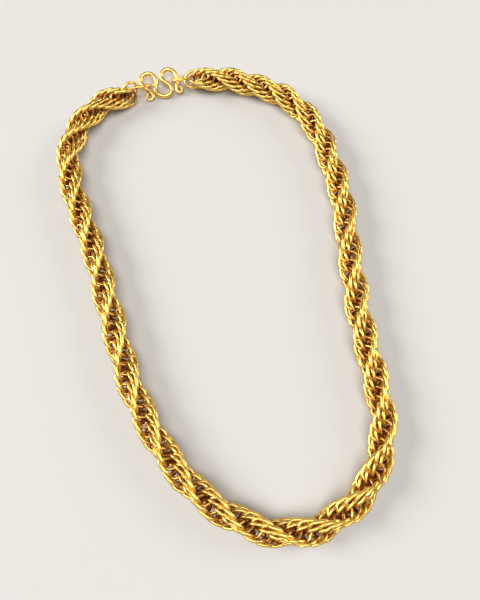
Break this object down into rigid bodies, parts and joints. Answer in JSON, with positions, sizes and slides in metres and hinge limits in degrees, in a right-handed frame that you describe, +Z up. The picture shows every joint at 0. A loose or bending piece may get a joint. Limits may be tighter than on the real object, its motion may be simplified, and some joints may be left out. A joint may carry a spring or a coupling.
{
  "type": "rope chain necklace",
  "caption": "Thick twisted rope chain necklace in polished gold, closed at the back by an M-shaped wire hook through two jump rings, lying as a whole loop.",
  "frame": {"origin": "middle of the lying necklace's outline, on the surface that it lies on", "axes": "+Z up from the surface, +Y from the front of the loop to the clasp at the back, +X to the right of someone who looks from the front"},
  "size_m": [0.126, 0.187, 0.0092],
  "materials": {
    "polished_gold": "polished",
    "satin_gold": "soft polish"
  },
  "bodies": {
    "root": {"rope": "polished_gold", "jump_ring_left": "polished_gold", "jump_ring_right": "polished_gold", "m_hook": "satin_gold"}
  },
  "joints": []
}
